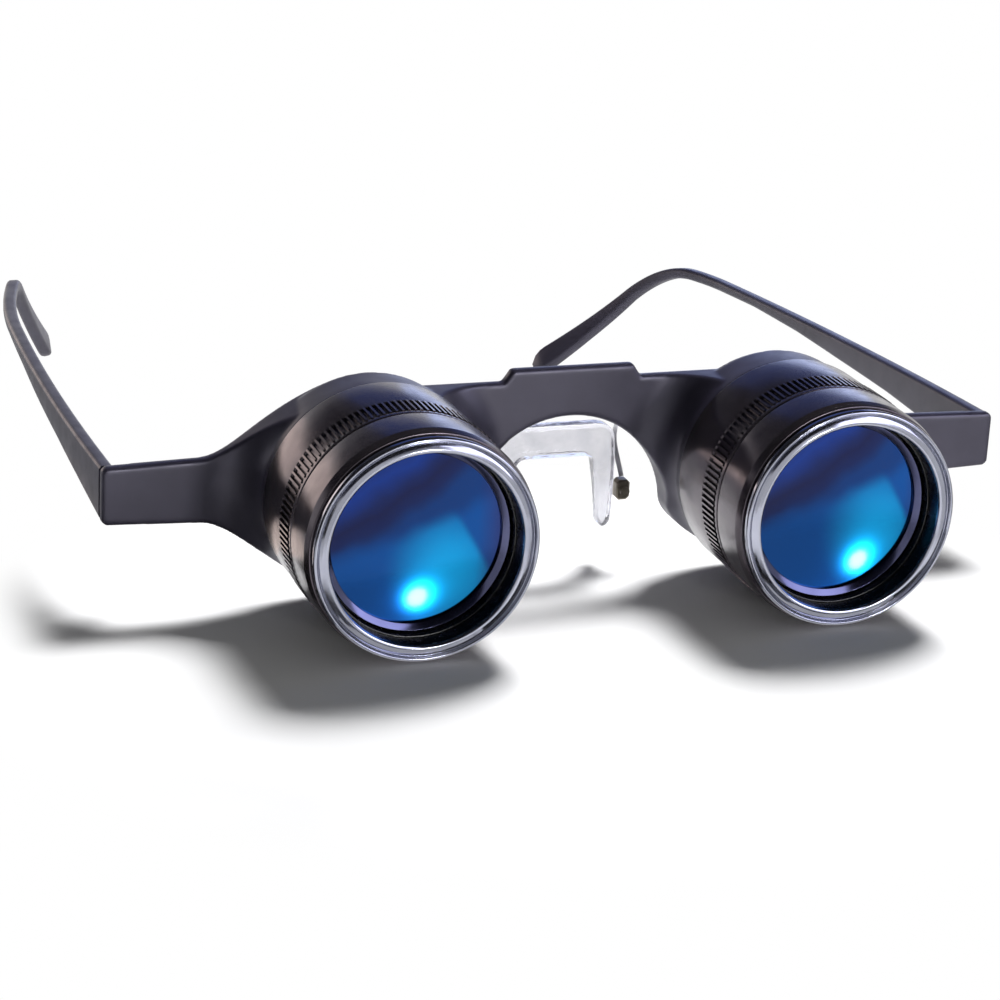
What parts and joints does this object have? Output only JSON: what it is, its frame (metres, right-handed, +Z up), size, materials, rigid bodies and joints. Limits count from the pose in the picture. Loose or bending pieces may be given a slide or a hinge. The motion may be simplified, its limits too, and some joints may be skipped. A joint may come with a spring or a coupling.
{
  "type": "binocular glasses",
  "caption": "Hands-free binocular glasses: short telescopes with coated lenses and knurled focus sleeves, on a spectacle frame with folding hooked temples and a clear nose saddle.",
  "frame": {"origin": "middle of the flat top of the bridge block", "axes": "+X towards the wearer's left, +Y back towards the wearer, +Z up; both telescopes look along -Y"},
  "size_m": [0.1412, 0.1663, 0.0425],
  "materials": {
    "frame_plastic": "satin black moulded plastic",
    "barrel_black": "satin black anodised aluminium",
    "rim_grey": "light grey anodised aluminium",
    "bore_black": "gloss black inside paint",
    "coated_glass": "polished glass with a blue anti-reflection coating",
    "plain_glass": "polished clear glass",
    "clear_silicone": "clear soft silicone",
    "plated_steel": "plated steel"
  },
  "bodies": {
    "frame": {"front_frame": "frame_plastic", "nose_saddle": "clear_silicone", "barrel_tube_left": "bore_black", "sleeve_stop_ring_left": "bore_black", "eyepiece_cell_left": "frame_plastic", "eyepiece_lens_left": "plain_glass", "eyepiece_ring_left": "bore_black", "hinge_bracket_left": "plated_steel", "hinge_screw_left": "plated_steel", "nose_arm_left": "plated_steel", "nose_clasp_left": "plated_steel", "nose_screw_left": "plated_steel", "barrel_tube_right": "bore_black", "sleeve_stop_ring_right": "bore_black", "eyepiece_cell_right": "frame_plastic", "eyepiece_lens_right": "plain_glass", "eyepiece_ring_right": "bore_black", "hinge_bracket_right": "plated_steel", "hinge_screw_right": "plated_steel", "nose_arm_right": "plated_steel", "nose_clasp_right": "plated_steel", "nose_screw_right": "plated_steel"},
    "temple_left_arm": {"temple_left": "frame_plastic", "hinge_leaf_left": "plated_steel"},
    "focus_sleeve_left_body": {"focus_sleeve_left": "barrel_black"},
    "objective_left": {"objective_barrel_left": "barrel_black", "front_rim_left": "rim_grey", "objective_lens_left": "coated_glass", "lens_ring_left": "bore_black", "focus_pin_left": "plated_steel"},
    "temple_right_arm": {"temple_right": "frame_plastic", "hinge_leaf_right": "plated_steel"},
    "focus_sleeve_right_body": {"focus_sleeve_right": "barrel_black"},
    "objective_right": {"objective_barrel_right": "barrel_black", "front_rim_right": "rim_grey", "objective_lens_right": "coated_glass", "lens_ring_right": "bore_black", "focus_pin_right": "plated_steel"}
  },
  "joints": [
    {"name": "temple_fold_left", "type": "hinge", "parent": "frame", "child": "temple_left_arm", "pos_m": [0.066, 0.0043, -0.0168], "axis": [0, 0, 1], "range_deg": [0, 83]},
    {"name": "focus_turn_left", "type": "hinge", "parent": "frame", "child": "focus_sleeve_left_body", "pos_m": [0.032, -0.017, -0.0153], "axis": [0, 1, 0], "range_deg": [0, 270]},
    {"name": "objective_travel_left", "type": "slide", "parent": "frame", "child": "objective_left", "axis": [0, -1, 0], "range_m": [0, 0.003]},
    {"name": "temple_fold_right", "type": "hinge", "parent": "frame", "child": "temple_right_arm", "pos_m": [-0.066, 0.0043, -0.0168], "axis": [0, 0, -1], "range_deg": [0, 64]},
    {"name": "focus_turn_right", "type": "hinge", "parent": "frame", "child": "focus_sleeve_right_body", "pos_m": [-0.032, -0.017, -0.0153], "axis": [0, 1, 0], "range_deg": [0, 270]},
    {"name": "objective_travel_right", "type": "slide", "parent": "frame", "child": "objective_right", "axis": [0, -1, 0], "range_m": [0, 0.003]}
  ],
  "couplings": [
    {"joint": "objective_travel_left", "follows": "focus_turn_left", "m_per_rad": 0.00063662},
    {"joint": "objective_travel_right", "follows": "focus_turn_right", "m_per_rad": 0.00063662}
  ]
}
